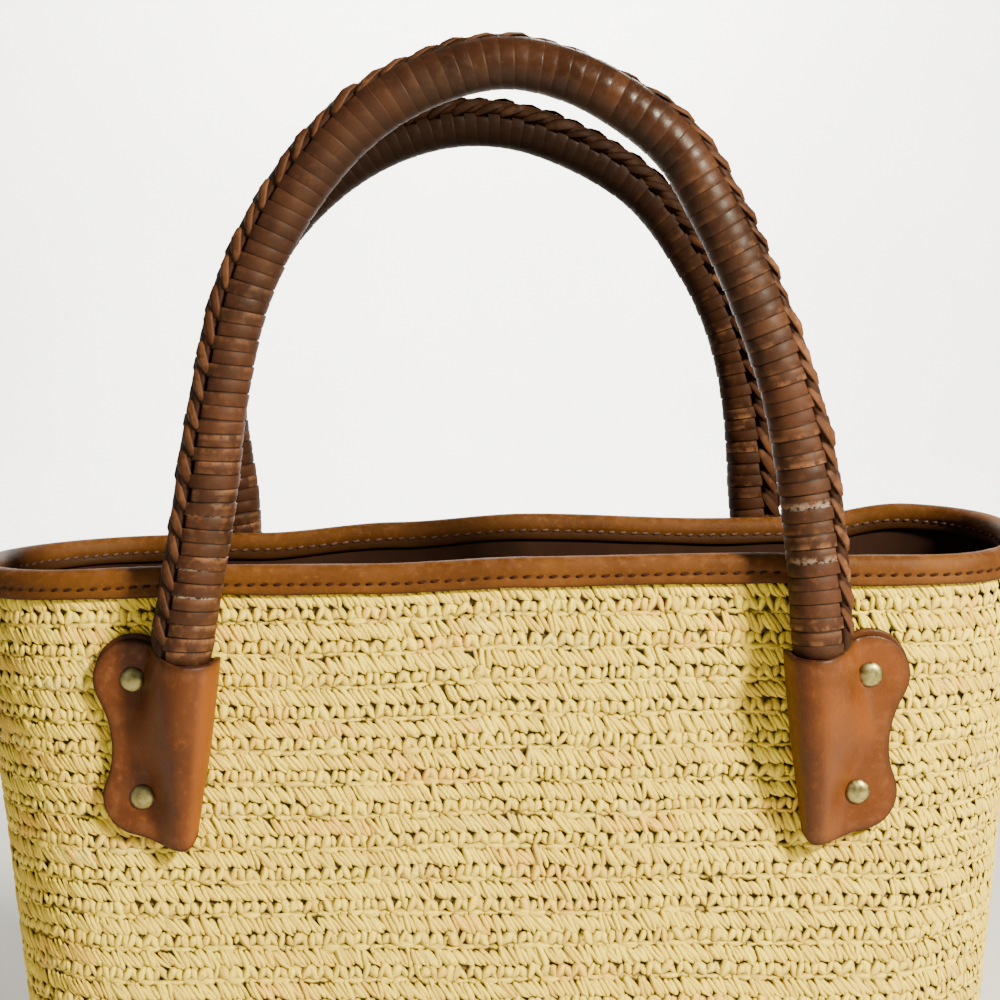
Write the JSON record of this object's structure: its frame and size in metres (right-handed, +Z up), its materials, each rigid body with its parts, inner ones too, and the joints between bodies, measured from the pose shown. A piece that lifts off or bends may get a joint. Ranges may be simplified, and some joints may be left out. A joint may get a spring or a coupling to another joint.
{
  "type": "woven raffia satchel",
  "caption": "Open-topped crocheted raffia handbag with a cloth lining, leather rim binding, arched lace-wound handles with a braided spine, and riveted leather handle tabs.",
  "frame": {"origin": "middle of the base, on the surface that the bag stands on", "axes": "+Z up from the base to the handles, +X along the bag's width to the right as seen from the front, front towards -Y"},
  "size_m": [0.3976, 0.1596, 0.45],
  "materials": {
    "raffia": "crocheted natural raffia, matt and fibrous",
    "lining_cloth": "dark brown woven cotton",
    "tan_leather": "smooth cognac leather with burnished edges",
    "lace_leather": "worn dark brown leather lace",
    "antique_brass": "antique brass, satin"
  },
  "bodies": {
    "root": {"body_shell": "raffia", "lining": "lining_cloth", "rim_binding": "tan_leather", "handle_front": "lace_leather", "handle_back": "lace_leather", "braid_front": "lace_leather", "braid_back": "lace_leather", "tab_front_left": "tan_leather", "tab_front_right": "tan_leather", "tab_back_left": "tan_leather", "tab_back_right": "tan_leather", "rivet_front_left_upper": "antique_brass", "rivet_front_left_lower": "antique_brass", "rivet_front_right_upper": "antique_brass", "rivet_front_right_lower": "antique_brass", "rivet_back_left_upper": "antique_brass", "rivet_back_left_lower": "antique_brass", "rivet_back_right_upper": "antique_brass", "rivet_back_right_lower": "antique_brass"}
  },
  "joints": []
}
